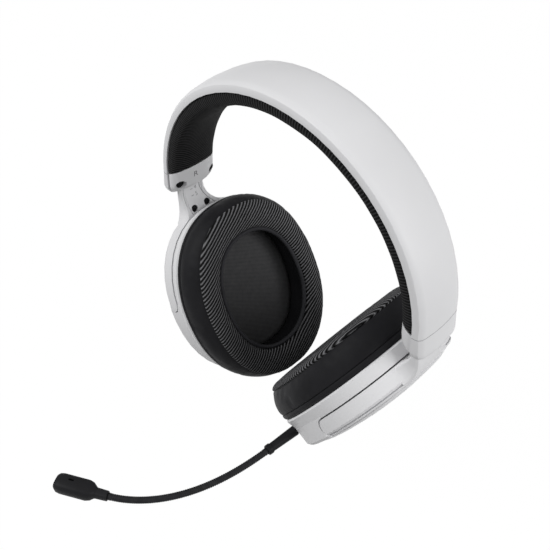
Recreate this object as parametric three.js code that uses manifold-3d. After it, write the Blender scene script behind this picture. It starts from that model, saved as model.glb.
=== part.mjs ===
import * as THREE from 'three';
import { mergeVertices } from 'three/addons/utils/BufferGeometryUtils.js';
import Module from 'manifold-3d';

const wasm = await Module();
wasm.setup();

// A headset in millimetres: +X to the wearer's left, -Y to the front, +Z up.
// The origin is the middle of the headband pad's underside, where it rests on the head.

// Driving dimensions of the headband
const bandRadius = 88.9;
const bandHalfAngle = 87;
const bandWidth = 29.5;
const shellWall = 2;
const shellRim = 5.7;
const shellEdge = 4;
const skinCrown = 0.8;
const padSide = 5.2;
const padCrown = 4;
const padMargin = 0.5;
const carrierThickness = 1.3;
const padSlant = 0.75;
const springWidth = 14;
const springThickness = 0.8;
const carrierHalfAngle = 72;
const springHalfAngle = 68;

// Driving dimensions of the end caps and the sliding hangers
const capLength = 15.4;
const coverSlant = 0.84;
const capCorner = 6.5;
const capRound = 3.8;
const capFlare = 1.2;
const stripWidth = 17.4;
const stripThickness = 3.4;
const stripDepth = 5.1;
const stripGrip = 12;
const slideIn = 5;
const inlayWidth = 10.8;
const inlayThickness = 0.6;
const inlayRecess = 1.2;
const neckFlare = 8.5;
const stripScrewSpacing = 9.3;
const stripScrewHole = 2.2;
const capScrewRadius = 2.5;
const capScrewOffset = 10.8;
const capScrewFromEnd = 10.2;
const capScrewDepth = 11;
const capScrewHeight = 0.5;

// Driving dimensions of the ear cups, which hang from the band's end by the top of the flank
const cupInward = 8.31;
const cupDrop = 31.8;
const cupSetback = 5;
const cupTilt = 29.4;
const ovalPower = 2.18;
const rimHalfWidth = 45.9;
const rimHalfHeight = 54.9;
const flankInset = 1.4;
const armWidth = 10.2;
const armThickness = 4.2;
const armGap = 0.8;
const armChamfer = 0.9;
const armGroove = 0.6;
const armEdge = 0.9;
const pivotRise = 12;
const pinRadius = 2;
const housingWall = 2;
const rimDepth = 7.3;
const domeHeight = 4;
const baffleThickness = 2;
const ringThickness = 1;
const driverRadius = 24.5;
const magnetRadius = 12;
const cushionThickness = 19.1;
const openingHalfWidth = 28.1;
const openingHalfHeight = 35.9;

// Driving dimensions of the controls and sockets in the left cup
const wheelRadius = 8;
const wheelThickness = 3;
const wheelProud = 1.6;
const wheelHeight = -18;
const buttonRadius = 3.1;
const buttonProud = 1;
const buttonAngle = -42;
const inletRadius = 3.6;
const inletBore = 1.8;
const inletSetback = 10;
const boardThickness = 1.6;
const boardFront = 14;
const boardRear = 16;
const boardHeight = 10;
const boardRise = 12.5;

// Driving dimensions of the microphone
const micX = -4.75;
const micRise = 13.5;
const micHeading = 5.03;
const micBend = 0.219;
const micCurl = 0.00435;
const stemLength = 23.5;
const stemRadius = 3;
const stemTipRadius = 2.5;
const neckRadius = 1.95;
const neckRibDepth = 0.25;
const neckRibs = 34;
const neckLength = 90.8;
const plugRadius = 1.75;
const plugLength = 11;
const capsuleLength = 29.5;
const capsuleWidth = 10.4;
const capsuleHeight = 9;
const capsuleRise = 0.4;

// Clearances
const fitGap = 0.3;
const seamGap = 0.5;
const swingGap = 0.8;
const slideGap = 0.3;
const edgeTolerance = 0.002;

// Counts that set how finely curves are cut
const bandSteps = 32;
const ovalPoints = 40;
const innerPoints = 28;
const edgeSteps = 3;
const crownSteps = 8;
const roundSides = 12;
const driverSides = 20;
const capsulePoints = 20;

const rad = THREE.MathUtils.degToRad;
const bandCentreZ = shellRim + fitGap + padSide + padCrown - bandRadius;
const padBack = shellRim + fitGap;
const sideDepth = padBack + padSide;
const crownDepth = sideDepth + padCrown;
const halfBand = bandWidth / 2;
const skinDepth = shellWall + skinCrown;
const armHalf = armWidth / 2;
const flankHalfWidth = rimHalfWidth - flankInset;
const flankHalfHeight = rimHalfHeight - flankInset;
const coreHalfWidth = flankHalfWidth - armThickness - swingGap;
const coreHalfHeight = flankHalfHeight - armThickness - swingGap;
const ledgeX = -armHalf - armGap;
const rimX = ledgeX - rimDepth;
const baffleBack = rimX + seamGap + baffleThickness;
const ringBack = rimX + fitGap / 2;

// Frames

const endFrame = new THREE.Matrix4().makeRotationY(-rad(90 - bandHalfAngle));
endFrame.setPosition(bandPlace(bandHalfAngle, 0, 0));
const bandEnd = bandPlace(bandHalfAngle, 0, 0);
const cupCentreX = bandEnd.x - cupInward - flankHalfHeight * Math.sin(rad(cupTilt));
const cupCentreZ = bandEnd.z - cupDrop - flankHalfHeight * Math.cos(rad(cupTilt));
const cupFrame = new THREE.Matrix4().makeRotationY(rad(cupTilt));
cupFrame.setPosition(cupCentreX, cupSetback, cupCentreZ);
const cupInverse = cupFrame.clone().invert();

// A point of the headband, by its angle from the top, its depth under the outer skin and y.
function bandPlace(angle, depth, y) {
  const radius = bandRadius - depth;
  return new THREE.Vector3(radius * Math.sin(rad(angle)), y, bandCentreZ + radius * Math.cos(rad(angle)));
}

// A point of the straight end of the band, by its depth, y and distance past the band.
function endPlace(depth, y, along) {
  return new THREE.Vector3(-depth, y, -along).applyMatrix4(endFrame);
}

// Solids and booleans

function solidOf(geometry) {
  const bare = geometry.clone();
  bare.deleteAttribute('normal');
  bare.deleteAttribute('uv');
  const merged = mergeVertices(bare, 1e-4);
  const corners = merged.index.array;
  const kept = [];
  for (let i = 0; i < corners.length; i += 3) {
    const [a, b, c] = [corners[i], corners[i + 1], corners[i + 2]];
    if (a !== b && b !== c && c !== a) {
      kept.push(a, b, c);
    }
  }
  const mesh = new wasm.Mesh({
    numProp: 3,
    vertProperties: new Float32Array(merged.attributes.position.array),
    triVerts: new Uint32Array(kept),
  });
  return new wasm.Manifold(mesh);
}

function geometryOf(solid) {
  const mesh = solid.simplify(edgeTolerance).getMesh();
  const geometry = new THREE.BufferGeometry();
  geometry.setAttribute('position', new THREE.BufferAttribute(new Float32Array(mesh.vertProperties), 3));
  geometry.setIndex(new THREE.BufferAttribute(new Uint32Array(mesh.triVerts), 1));
  return geometry;
}

function join(...pieces) {
  return geometryOf(pieces.map(solidOf).reduce((a, b) => a.add(b)));
}

function cut(base, ...tools) {
  return geometryOf(tools.map(solidOf).reduce((a, b) => a.subtract(b), solidOf(base)));
}

function meet(...pieces) {
  return geometryOf(pieces.map(solidOf).reduce((a, b) => a.intersect(b)));
}

function moved(geometry, matrix) {
  return geometry.clone().applyMatrix4(matrix);
}

// The same solid on the other side of the head.
function mirrored(geometry) {
  const twin = geometryOf(solidOf(geometry)).applyMatrix4(new THREE.Matrix4().makeScale(-1, 1, 1));
  const corners = twin.index.array;
  for (let i = 0; i < corners.length; i += 3) {
    [corners[i + 1], corners[i + 2]] = [corners[i + 2], corners[i + 1]];
  }
  return twin;
}

// Shapes

function facingOut(positions, index) {
  const at = (i) => new THREE.Vector3().fromArray(positions, 3 * i);
  let volume = 0;
  for (let i = 0; i < index.length; i += 3) {
    volume += at(index[i]).dot(at(index[i + 1]).cross(at(index[i + 2])));
  }
  const geometry = new THREE.BufferGeometry();
  geometry.setAttribute('position', new THREE.Float32BufferAttribute(positions, 3));
  geometry.setIndex(volume > 0 ? index : index.slice().reverse());
  return geometry;
}

function capTriangles(outline, first, reversed) {
  const contour = outline.map(([u, v]) => new THREE.Vector2(u, v));
  const direction = Math.sign(THREE.ShapeUtils.area(contour)) * (reversed ? -1 : 1);
  return THREE.ShapeUtils.triangulateShape(contour.slice(), []).flatMap(([a, b, c]) => {
    const turn = Math.sign(THREE.ShapeUtils.area([contour[a], contour[b], contour[c]]));
    return turn === direction ? [first + a, first + b, first + c] : [first + a, first + c, first + b];
  });
}

// A closed body through outlines of as many points each, placed one after the other.
function loft(outlines, place, closed = false) {
  const count = outlines[0].length;
  const last = outlines.length - 1;
  const positions = outlines.flatMap((outline, i) => outline.flatMap(([u, v]) => place(i, u, v).toArray()));
  const index = [];
  for (let i = 0; i < (closed ? last + 1 : last); i += 1) {
    const next = (i + 1) % outlines.length;
    for (let j = 0; j < count; j += 1) {
      const k = (j + 1) % count;
      index.push(i * count + j, next * count + j, next * count + k);
      index.push(i * count + j, next * count + k, i * count + k);
    }
  }
  if (!closed) {
    index.push(...capTriangles(outlines[0], 0, false));
    index.push(...capTriangles(outlines[last], last * count, true));
  }
  return facingOut(positions, index);
}

function box(x, y, z) {
  const shape = new THREE.BoxGeometry(x[1] - x[0], y[1] - y[0], z[1] - z[0]);
  return shape.translate((x[0] + x[1]) / 2, (y[0] + y[1]) / 2, (z[0] + z[1]) / 2);
}

// A round bar from one point to another.
function rod(radius, start, end, endRadius = radius, sides = roundSides) {
  const from = new THREE.Vector3(...start);
  const to = new THREE.Vector3(...end);
  const along = to.clone().sub(from);
  const shape = new THREE.CylinderGeometry(endRadius, radius, along.length(), sides);
  const turn = new THREE.Quaternion().setFromUnitVectors(new THREE.Vector3(0, 1, 0), along.normalize());
  return shape.applyQuaternion(turn).translate(...from.add(to).multiplyScalar(0.5).toArray());
}

// A body turned around the cup's X axis, from [radius, x] points.
function turned(profile, sides = driverSides) {
  const points = profile.map(([radius, x]) => new THREE.Vector2(radius, x));
  return new THREE.LatheGeometry(points, sides).rotateZ(-Math.PI / 2);
}

// An oval of the ear cup as [y, z] points.
function oval(halfWidth, halfHeight, count = ovalPoints) {
  return Array.from({ length: count }, (_, i) => ovalPoint(halfWidth, halfHeight, (360 * i) / count));
}

function ovalPoint(halfWidth, halfHeight, angle) {
  const c = Math.cos(rad(angle));
  const s = Math.sin(rad(angle));
  return [
    halfWidth * Math.sign(c) * Math.abs(c) ** (2 / ovalPower),
    halfHeight * Math.sign(s) * Math.abs(s) ** (2 / ovalPower),
  ];
}

// Half the width of an oval at a height above its centre.
function ovalReach(halfWidth, halfHeight, z) {
  return halfWidth * (1 - Math.abs(z / halfHeight) ** ovalPower) ** (1 / ovalPower);
}

// A [y, z] outline carried along X.
function prism(outline, x, holes = []) {
  const path = (points) => points.map(([y, z]) => new THREE.Vector2(y, z));
  const shape = new THREE.Shape(path(outline));
  shape.holes = holes.map((hole) => new THREE.Path(path(hole)));
  const body = new THREE.ExtrudeGeometry(shape, { depth: x[1] - x[0], bevelEnabled: false });
  const toCup = new THREE.Matrix4().set(0, 0, 1, 0, 1, 0, 0, 0, 0, 1, 0, 0, 0, 0, 0, 1);
  return body.translate(0, 0, x[0]).applyMatrix4(toCup);
}

// A body through ovals given as [half width, half height, x].
function ovalLoft(stations) {
  const outlines = stations.map(([halfWidth, halfHeight]) => oval(halfWidth, halfHeight));
  return loft(outlines, (i, y, z) => new THREE.Vector3(stations[i][2], y, z));
}

// Headband

function bandAngles(halfAngle, steps) {
  return Array.from({ length: steps + 1 }, (_, i) => halfAngle * ((2 * i) / steps - 1));
}

function bandSweep(outline, halfAngle, steps = bandSteps) {
  const angles = bandAngles(halfAngle, steps);
  return loft(angles.map(() => outline), (i, depth, y) => bandPlace(angles[i], depth, y));
}

// The rounded outer skin as [depth, y] points from edge to edge.
function skinOutline(top, inset) {
  const half = halfBand - inset;
  const edge = Math.min(shellEdge, shellRim - top);
  const crown = skinCrown * (1 - top / shellRim);
  const arc = Array.from({ length: edgeSteps + 1 }, (_, i) => {
    const t = rad((90 * i) / edgeSteps);
    return [top + crown + (edge - crown) * (1 - Math.sin(t)), -half + edge * (1 - Math.cos(t))];
  });
  const near = [[shellRim, -half], ...arc, [top + 0.25 * crown, (edge - half) / 2]];
  return [...near, [top, 0], ...near.map(([depth, y]) => [depth, -y]).reverse()];
}

function shellGeometry() {
  const inner = halfBand - shellWall;
  const bevel = shellEdge / 2;
  const hollow = [[shellRim, inner], [skinDepth + bevel, inner], [skinDepth, inner - bevel]];
  const outline = [...skinOutline(0, 0), ...hollow, ...hollow.map(([depth, y]) => [depth, -y]).reverse()];
  return bandSweep(outline, bandHalfAngle);
}

function flatStrip(from, to, half) {
  return [[from, -half], [from, half], [to, half], [to, -half]];
}

function springGeometry() {
  const top = skinDepth + fitGap;
  return bandSweep(flatStrip(top, top + springThickness, springWidth / 2), springHalfAngle, bandSteps / 2);
}

function carrierGeometry() {
  const bottom = shellRim;
  const half = halfBand - shellWall - 2 * fitGap;
  return bandSweep(flatStrip(bottom - carrierThickness, bottom, half), carrierHalfAngle, bandSteps / 2);
}

// Depth of the crowned underside at a share of its half width.
function crownAt(share) {
  return sideDepth + padCrown * (1 - Math.abs(share) ** 2.6) ** 0.75;
}

// The crowned underside as [depth, y] points, with sides that draw in above the seam.
function undersideOutline(back, half, bulge) {
  const side = [[back, -half + bulge], [back + padSide * 0.25, -half], [sideDepth - padSide * 0.3, -half]];
  const crown = Array.from({ length: crownSteps + 1 }, (_, i) => {
    const share = Math.sin(rad(90 * ((2 * i) / crownSteps - 1)));
    return [crownAt(share), share * (half - bulge)];
  });
  return [...side, ...crown, ...side.map(([depth, y]) => [depth, -y]).reverse()];
}

function padGeometry() {
  const outline = undersideOutline(padBack, halfBand - padMargin, 0.6);
  const angles = bandAngles(1, bandSteps);
  const pad = loft(angles.map(() => outline), (i, depth, y) => {
    const short = padSlant * (depth - padBack) + seamGap;
    return bandPlace(angles[i] * (bandHalfAngle - arcAngle(short)), depth, y);
  });
  const channel = stripChannel(slideGap);
  return cut(pad, channel, mirrored(channel));
}

// The angle of an arc on the outer skin.
function arcAngle(length) {
  return THREE.MathUtils.radToDeg(length / bandRadius);
}

// The room that the strip slides in, through the end and up into the pad.
function stripChannel(gap) {
  const half = stripWidth / 2 + gap;
  const top = stripGrip + slideIn + 1.5;
  const shape = box([-stripDepth - stripThickness - gap, -stripDepth + gap], [-half, half], [-capLength - 5, top]);
  return moved(shape, endFrame);
}

// End caps

// How far the cap's sides have drawn in at a distance past the band.
function capInset(along) {
  const past = Math.max(0, along - (capLength - capCorner));
  return capCorner - Math.sqrt(Math.max(0, capCorner ** 2 - past ** 2));
}

function capStations() {
  const turn = capLength - capCorner;
  const steps = [0, 0.25, 0.5, 0.7, 0.85, 0.95, 1];
  return [0, ...steps.map((share) => turn + capCorner * share)];
}

function endCapGeometry() {
  const stations = capStations();
  const outlines = stations.map((along) => {
    const past = Math.max(0, along - (capLength - capRound)) / capRound;
    const top = (shellRim - 1.1) * (1 - Math.sqrt(Math.max(0, 1 - past ** 2))) - (capFlare * along) / capLength;
    return skinOutline(top, capInset(along) * 0.98);
  });
  const skin = loft(outlines, (i, depth, y) => endPlace(depth, y, stations[i]));
  const inner = halfBand - shellWall;
  const roomEnd = capLength - capCorner + 2;
  const room = box([-shellRim - 1, -skinDepth], [-inner, inner], [-roomEnd, 1]);
  return cut(skin, moved(room, endFrame), stripChannel(slideGap));
}

// The inner cover goes on with the pad's crown, and both its ends lean inward.
function endCoverGeometry() {
  const stations = capStations();
  const outlines = stations.map((along) => undersideOutline(padBack, halfBand - padMargin - capInset(along), 0.6));
  const cover = loft(outlines, (i, depth, y) => {
    const share = stations[i] / capLength;
    const top = fitGap - padSlant * (depth - padBack);
    const bottom = capLength - coverSlant * (depth - padBack);
    const along = top + (bottom - top) * share;
    if (along < 0) {
      return bandPlace(bandHalfAngle + arcAngle(along), depth, y);
    }
    return endPlace(depth, y, along);
  });
  const recesses = [-1, 1].map((side) => rod(capScrewRadius + fitGap, ...capScrewLine(side, capScrewDepth, crownDepth + 2)));
  return cut(cover, stripChannel(slideGap), ...recesses);
}

function capScrewLine(side, from, to) {
  const along = capLength - capScrewFromEnd;
  return [from, to].map((depth) => endPlace(depth, side * capScrewOffset, along).toArray());
}

function capScrewGeometry(side) {
  const floor = capScrewDepth + fitGap;
  return rod(capScrewRadius, ...capScrewLine(side, floor, floor + capScrewHeight));
}

// A bowed leaf that presses on the strip and clicks it into place.
function detentGeometry() {
  const steps = 6;
  const half = 3.5;
  const bow = stripDepth - skinDepth - 2 * fitGap - 0.5;
  const outlines = Array.from({ length: steps + 1 }, (_, i) => {
    const depth = skinDepth + fitGap + bow * Math.sin((Math.PI * i) / steps);
    return flatStrip(depth, depth + 0.5, half);
  });
  const length = capLength - capCorner - 0.5;
  return loft(outlines, (i, depth, y) => endPlace(depth, y, 1 + (length * i) / steps));
}

// Hangers

// The hanger runs straight out of the cap, then bends into the plane of its fork.
const neckFoot = flankHalfHeight - armThickness + fitGap;
const footInEnd = new THREE.Vector3(0, 0, neckFoot)
  .applyMatrix4(cupFrame)
  .applyMatrix4(endFrame.clone().invert());
const bendAngle = cupTilt + 90 - bandHalfAngle;
const stripMiddle = stripDepth + stripThickness / 2;
const bendRadius = (-footInEnd.x - stripMiddle) / (1 - Math.cos(rad(bendAngle)));
const bendStart = -footInEnd.z - bendRadius * Math.sin(rad(bendAngle));

function smooth(share) {
  return share * share * (3 - 2 * share);
}

// One place along the hanger: share below 0 lies on the straight strip, 1 is where the fork starts.
function hangerStation(share) {
  const bend = Math.max(0, share);
  const angle = rad(bendAngle * bend);
  const straight = Math.min(0, share) * (bendStart + stripGrip);
  const along = bendStart + straight + bendRadius * Math.sin(angle);
  const depth = stripMiddle + bendRadius * (1 - Math.cos(angle));
  return {
    halfThickness: stripThickness / 2 + (armHalf - stripThickness / 2) * smooth(bend),
    halfWidth: stripWidth / 2 + neckFlare * bend ** 3.7,
    flare: bend,
    middle: cupSetback * bend ** 1.9,
    place: (inward, y) =>
      endPlace(depth + inward * Math.cos(angle), y, along - inward * Math.sin(angle)),
  };
}

function hangerStations(from, to) {
  const bend = [0, 0.2, 0.4, 0.55, 0.7, 0.8, 0.9, 1].filter((share) => share > from && share < to);
  return [from, ...bend, to].map(hangerStation);
}

function neckGeometry() {
  const stations = hangerStations(-1, 1);
  const outlines = stations.map(({ halfThickness: t, halfWidth: w, middle }) => {
    const bevel = 0.9;
    return [
      [-t, middle - w + bevel], [-t, middle + w - bevel], [-t + bevel, middle + w], [t - bevel, middle + w],
      [t, middle + w - bevel], [t, middle - w + bevel], [t - bevel, middle - w], [-t + bevel, middle - w],
    ];
  });
  return loft(outlines, (i, inward, y) => stations[i].place(inward, y));
}

// A band along the hanger's inner face, between two heights above the face.
function inlayBand(low, high, margin, from, to) {
  const stations = hangerStations(from, to);
  const outlines = stations.map(({ halfThickness, flare, middle }) => {
    const half = inlayWidth / 2 + 4.5 * flare ** 1.5 - margin;
    return [
      [halfThickness + low, middle - half], [halfThickness + low, middle + half],
      [halfThickness + high, middle + half], [halfThickness + high, middle - half],
    ];
  });
  return loft(outlines, (i, inward, y) => stations[i].place(inward, y));
}

const stripScrewShare = 0.68;

function stripScrewLine(side, low, high) {
  const { halfThickness, middle, place } = hangerStation(stripScrewShare);
  const y = middle + (side * stripScrewSpacing) / 2;
  return [low, high].map((height) => place(halfThickness + height, y).toArray());
}

function stripScrewHoles(depth) {
  return [-1, 1].map((side) => rod(stripScrewHole, ...stripScrewLine(side, -depth, 3)));
}

function stripScrewGeometry(side) {
  return rod(stripScrewHole - fitGap, ...stripScrewLine(side, -3.7, -0.9));
}

function inlayGeometry() {
  const low = fitGap - inlayRecess;
  const plate = inlayBand(low, low + inlayThickness, fitGap, -0.96, 0.94);
  return cut(plate, ...stripScrewHoles(5));
}

// The U of the fork, flush with the housing's flank, with a round end on each arm.
// Its outer edge has a chamfer, then a groove beside the face plate.
function forkGeometry() {
  const inner = oval(coreHalfWidth + swingGap, coreHalfHeight + swingGap);
  const groove = armHalf - armEdge - armGroove;
  const edges = [
    [0, -armHalf],
    [0, groove - 1.3 * armChamfer],
    [armChamfer, groove - 0.1],
    [2 * armChamfer, groove],
    [2 * armChamfer, groove + armGroove],
    [armChamfer, groove + armGroove + 0.1],
    [1.8 * armChamfer, armHalf],
  ];
  const outer = ovalLoft(edges.map(([inset, x]) => [flankHalfWidth - inset, flankHalfHeight - inset, x]));
  const reach = flankHalfWidth + 5;
  const top = box([-armHalf - 1, armHalf + 1], [-reach, reach], [pivotRise, flankHalfHeight + 5]);
  const ends = rod(armHalf, [0, -reach, pivotRise], [0, reach, pivotRise], armHalf, 24);
  const ring = cut(outer, prism(inner, [-armHalf - 1, armHalf + 1]));
  return join(meet(ring, top), meet(ring, ends));
}

// Where each pivot pin starts inside the cup and ends inside the arm.
const pinStart = ovalReach(coreHalfWidth, coreHalfHeight, pivotRise) - 4;
const pinEnd = ovalReach(flankHalfWidth, flankHalfHeight, pivotRise) - 1.2;

function pinRod(side, radius, from, to) {
  return rod(radius, [0, side * from, pivotRise], [0, side * to, pivotRise], radius, 10);
}

function hangerGeometry() {
  const pinHoles = [-1, 1].map((side) => pinRod(side, pinRadius + fitGap, pinStart, pinEnd + fitGap));
  const fork = cut(forkGeometry(), ...pinHoles);
  const whole = join(neckGeometry(), moved(fork, cupFrame));
  return cut(whole, inlayBand(-inlayRecess, 2, 0, -1.1, 0.96), ...stripScrewHoles(4));
}

function pinGeometry(side) {
  return pinRod(side, pinRadius, pinStart, pinEnd);
}

// Ear cup housings

function housingGeometry(side) {
  const faceX = armHalf;
  const rim = ovalLoft([
    [rimHalfWidth - 0.7, rimHalfHeight - 0.7, rimX],
    [rimHalfWidth, rimHalfHeight, rimX + 0.9],
    [flankHalfWidth - 0.3, flankHalfHeight - 0.3, ledgeX],
  ]);
  const core = ovalLoft([
    [coreHalfWidth, coreHalfHeight, ledgeX - 1],
    [coreHalfWidth, coreHalfHeight, faceX - 1],
    [coreHalfWidth - 1, coreHalfHeight - 1, faceX],
  ]);
  const lower = meet(
    ovalLoft([
      [flankHalfWidth, flankHalfHeight, ledgeX - 1],
      [flankHalfWidth, flankHalfHeight, faceX - 1.6],
      [flankHalfWidth - 1.2, flankHalfHeight - 1.2, faceX],
    ]),
    box([ledgeX - 2, faceX + 1], [-rimHalfWidth, rimHalfWidth], [-rimHalfHeight, pivotRise]),
  );
  const reach = rimHalfWidth + 1;
  const armEnds = cut(
    rod(armHalf + armGap, [0, -reach, pivotRise], [0, reach, pivotRise], armHalf + armGap, 24),
    prism(oval(coreHalfWidth, coreHalfHeight), [-armWidth, armWidth]),
  );
  const bosses = [-1, 1].map((end) => pinRod(end, pinRadius + 2.2, pinStart + 0.5, pinStart + 3));
  const pinHoles = [-1, 1].map((end) => pinRod(end, pinRadius + fitGap, pinStart - 1, pinEnd + 2));
  const rimRoom = oval(rimHalfWidth - housingWall - 0.3, rimHalfHeight - housingWall - 0.3, innerPoints);
  const room = oval(coreHalfWidth - housingWall, coreHalfHeight - housingWall, innerPoints);
  const shell = cut(
    join(rim, core, cut(lower, armEnds)),
    prism(rimRoom, [rimX - 1, ledgeX - housingWall]),
    prism(room, [ledgeX - housingWall - 1, faceX - housingWall]),
  );
  const posts = side === 'left' ? boardPosts() : [];
  const openings = side === 'left' ? leftOpenings() : [];
  return cut(join(shell, ...bosses, ...posts), ...pinHoles, ...openings);
}

function outerCoverGeometry() {
  const x = armHalf + fitGap;
  const [width, height] = [coreHalfWidth - 0.8, coreHalfHeight - 0.8];
  return ovalLoft([
    [width, height, x],
    [width, height, x + 0.2 * domeHeight],
    [width - 2, height - 2, x + 0.5 * domeHeight],
    [width - 9, height - 10, x + 0.84 * domeHeight],
    [width / 3, height / 3, x + domeHeight],
  ]);
}

function baffleGeometry() {
  const margin = housingWall + 0.7;
  const hole = Array.from({ length: driverSides }, (_, i) => {
    const t = (2 * Math.PI * i) / driverSides;
    return [(driverRadius - 4.5) * Math.cos(t), (driverRadius - 4.5) * Math.sin(t)];
  });
  const outline = oval(rimHalfWidth - margin, rimHalfHeight - margin, innerPoints);
  return prism(outline, [baffleBack - baffleThickness, baffleBack], [hole]);
}

function driverFrameGeometry() {
  const front = baffleBack + fitGap;
  const back = front + 5.7;
  const r = driverRadius;
  return turned([
    [r - 4.9, front], [r, front], [r, front + 1], [r - 3.5, front + 1], [magnetRadius + 4, back],
    [magnetRadius + 0.5, back], [magnetRadius + 0.5, back - 1], [magnetRadius + 3.4, back - 1],
    [r - 4.9, front + 0.9], [r - 4.9, front],
  ]);
}

function magnetGeometry() {
  const front = baffleBack + 6.3;
  const back = armHalf - housingWall - 1.2;
  return turned([[0, front], [magnetRadius, front], [magnetRadius, back - 1], [magnetRadius - 1, back], [0, back]]);
}

function diaphragmGeometry() {
  const rim = baffleBack - 0.1;
  const r = driverRadius - 5.2;
  const dome = [[r, rim], [r * 0.78, rim - 1], [r * 0.42, rim - 1.6], [0, rim - 1.8]];
  const under = dome.map(([radius, x]) => [radius, x + 0.5]).reverse();
  return turned([...dome.slice().reverse(), ...under.slice().reverse()]);
}

function cushionRingGeometry() {
  const outer = oval(rimHalfWidth - 3.4, rimHalfHeight - 3.4, innerPoints);
  const inner = oval(openingHalfWidth + 2.9, openingHalfHeight + 3.1, innerPoints);
  return prism(outer, [ringBack - ringThickness, ringBack], [inner]);
}

function clothGeometry() {
  const outline = oval(openingHalfWidth + 2.5, openingHalfHeight + 2.7, innerPoints);
  return prism(outline, [ringBack - 0.4, ringBack]);
}

// The ear cushion: a ring with a crowned face, a drawn-in seam and sides that swell between them.
function cushionGeometry() {
  const back = rimX - fitGap;
  const front = back - cushionThickness;
  const seat = ringBack - ringThickness - fitGap;
  const [w, h] = [rimHalfWidth, rimHalfHeight];
  const [ow, oh] = [openingHalfWidth, openingHalfHeight];
  const profile = [
    [w - 0.4, h - 0.4, back], [w, h, back - 1.2], [w - 0.2, h + 0.1, back - 5], [w - 1.2, h - 0.5, front + 9],
    [w - 2.7, h - 1.3, front + 5.4], [w - 4, h - 2.3, front + 3.1], [w - 5.4, h - 3.8, front + 1.4],
    [w - 9.5, h - 9, front], [w - 13.7, h - 14.4, front + 0.4], [ow + 1.2, oh + 1.3, front + 1.9],
    [ow, oh, front + 3.8], [ow + 0.9, oh + 1.2, front + 9], [ow + 1.7, oh + 2, seat - 0.8],
    [ow + 2.1, oh + 2.4, seat], [w - 3.1, h - 3.1, seat], [w - 3.1, h - 3.1, back],
  ];
  const angles = Array.from({ length: ovalPoints }, (_, i) => (360 * i) / ovalPoints);
  const place = (i, k) => {
    const [halfWidth, halfHeight, x] = profile[k];
    const [y, z] = ovalPoint(halfWidth, halfHeight, angles[i]);
    return new THREE.Vector3(x, y, z);
  };
  return loft(angles.map(() => profile.map((_, k) => [k, 0])), place, true);
}

// Controls and sockets of the left cup

// A frame on the housing's flank: +X along the cup's axis, +Z out of the flank.
function flankFrame(angle) {
  const [y, z] = ovalPoint(flankHalfWidth, flankHalfHeight, angle);
  const [y1, z1] = ovalPoint(flankHalfWidth, flankHalfHeight, angle + 1);
  const out = new THREE.Vector3(0, z1 - z, y - y1).normalize();
  const across = new THREE.Vector3(1, 0, 0);
  const frame = new THREE.Matrix4().makeBasis(across, out.clone().cross(across), out);
  return frame.setPosition(0, y, z);
}

const wheelY = ovalReach(flankHalfWidth, flankHalfHeight, wheelHeight) + wheelProud - wheelRadius;
const inletZ = -flankHalfHeight * (1 - (inletSetback / flankHalfWidth) ** ovalPower) ** (1 / ovalPower) - 0.4;
const boardBottom = boardRise - coreHalfHeight;
const boardX = -armHalf + 3.9;

function wheelDisc(radius, half, axle, axleHalf) {
  const disc = turned([[0, -half], [radius, -half], [radius, half], [0, half]], 28);
  const pin = turned([[0, -axleHalf], [axle, -axleHalf], [axle, axleHalf], [0, axleHalf]], 12);
  return join(disc, pin).translate(0, wheelY, wheelHeight);
}

function wheelGeometry() {
  const half = wheelThickness / 2;
  const disc = wheelDisc(wheelRadius, half, 1.5, half + 1.7);
  const ridges = 14;
  const notches = Array.from({ length: ridges }, (_, i) => {
    const t = (2 * Math.PI * i) / ridges;
    const [y, z] = [wheelY + wheelRadius * Math.cos(t), wheelHeight + wheelRadius * Math.sin(t)];
    return rod(0.5, [-half - 1, y, z], [half + 1, y, z], 0.5, 6);
  });
  return cut(disc, ...notches);
}

function buttonRod(radius, from, to) {
  return moved(rod(radius, [0, 0, from], [0, 0, to]), flankFrame(buttonAngle));
}

function buttonGeometry() {
  return buttonRod(buttonRadius, -6.5, buttonProud);
}

function inletRod(radius, from, to) {
  return rod(radius, [0, inletSetback, from], [0, inletSetback, to]);
}

const inletTop = boardBottom - fitGap;

function inletGeometry() {
  return cut(inletRod(inletRadius, inletZ, inletTop), inletRod(inletBore, inletZ - 1, inletTop - 2.5));
}

function boardGeometry() {
  return box([boardX - boardThickness, boardX], [-boardFront, boardRear], [boardBottom, boardBottom + boardHeight]);
}

function boardPosts() {
  const top = armHalf - housingWall + 0.5;
  const middle = boardBottom + boardHeight / 2;
  return [4 - boardFront, boardRear - 4].map((y) => rod(1.8, [boardX + fitGap, y, middle], [top, y, middle]));
}

// Microphone

// The route of the microphone: straight out of the cup, then curving in front of the mouth.
const micZ = micRise - flankHalfHeight;
const micRoot = new THREE.Vector3(micX, -ovalReach(flankHalfWidth, flankHalfHeight, micZ), micZ).applyMatrix4(cupFrame);

function headingAt(along) {
  const past = Math.max(0, along - stemLength);
  return rad(micHeading + micBend * past + micCurl * past ** 2);
}

function micPoint(along) {
  const steps = Math.max(1, Math.ceil(Math.abs(along)));
  const point = micRoot.clone();
  for (let i = 0; i < steps; i += 1) {
    const heading = headingAt((along * (i + 0.5)) / steps);
    point.x -= (Math.sin(heading) * along) / steps;
    point.y -= (Math.cos(heading) * along) / steps;
  }
  return point;
}

// A round bar along the route, through [distance, radius] stations.
function micBar(stations, sides) {
  const turns = Array.from({ length: sides }, (_, i) => (2 * Math.PI * i) / sides);
  const ring = turns.map((turn) => [Math.cos(turn), Math.sin(turn)]);
  return loft(stations.map(() => ring), (i, u, v) => {
    const [along, radius] = stations[i];
    const heading = headingAt(along);
    const side = new THREE.Vector3(Math.cos(heading), -Math.sin(heading), 0);
    return micPoint(along).addScaledVector(side, radius * u).add(new THREE.Vector3(0, 0, radius * v));
  });
}

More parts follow.
